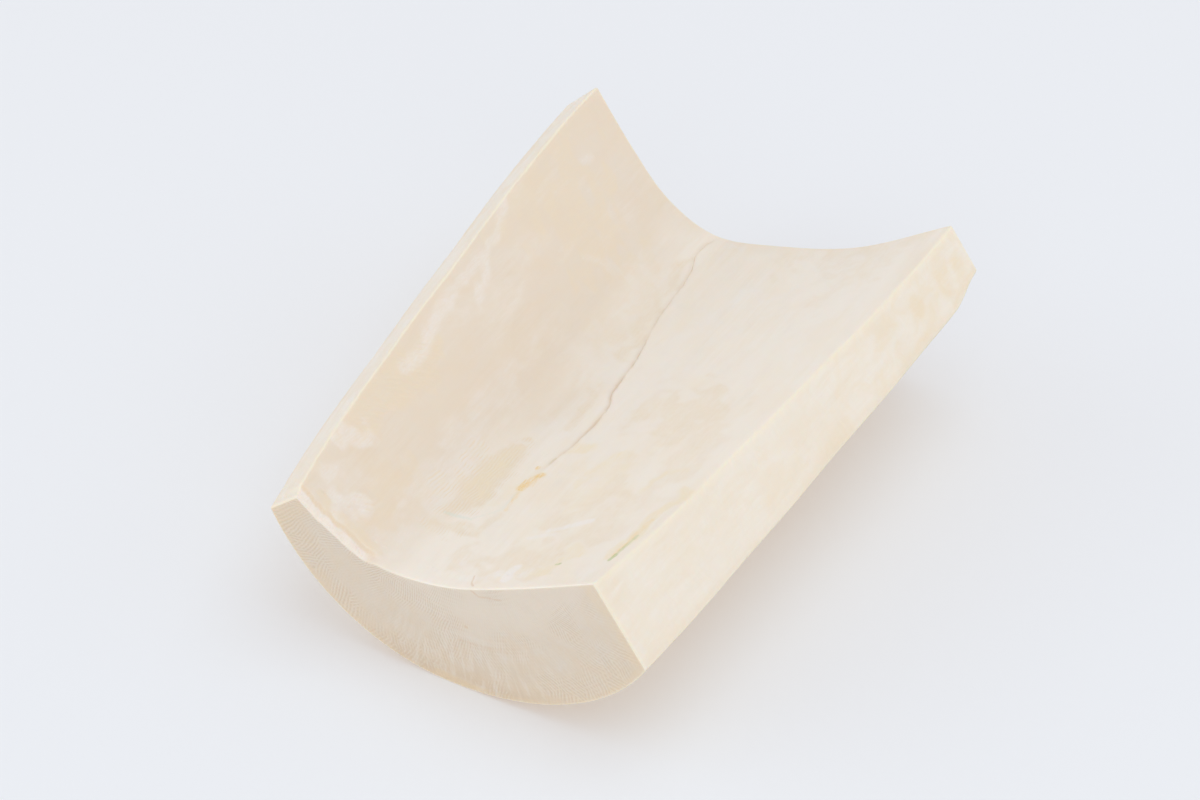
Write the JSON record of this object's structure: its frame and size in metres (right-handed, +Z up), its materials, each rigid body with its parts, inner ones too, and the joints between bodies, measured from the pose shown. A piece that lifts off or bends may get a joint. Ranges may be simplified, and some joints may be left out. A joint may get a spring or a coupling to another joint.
{
  "type": "mammoth ivory piece",
  "caption": "Trough-shaped length of mammoth tusk wall, sawn along both sides and across both ends, with a hollow polished top and a long crack in it.",
  "frame": {"origin": "on the surface that the piece rests on, under the middle of its box", "axes": "+Z up; +Y along the tusk, from the narrower, thicker-walled sawn end to the wider one; +X across the trough, towards the broad sawn side face"},
  "size_m": [0.092, 0.12, 0.0461],
  "materials": {
    "ivory": "smooth, satin to semi-gloss ivory, cream with tan and pale streaks; sawn faces finer grained and duller"
  },
  "bodies": {
    "root": {"ivory_piece": "ivory"}
  },
  "joints": []
}
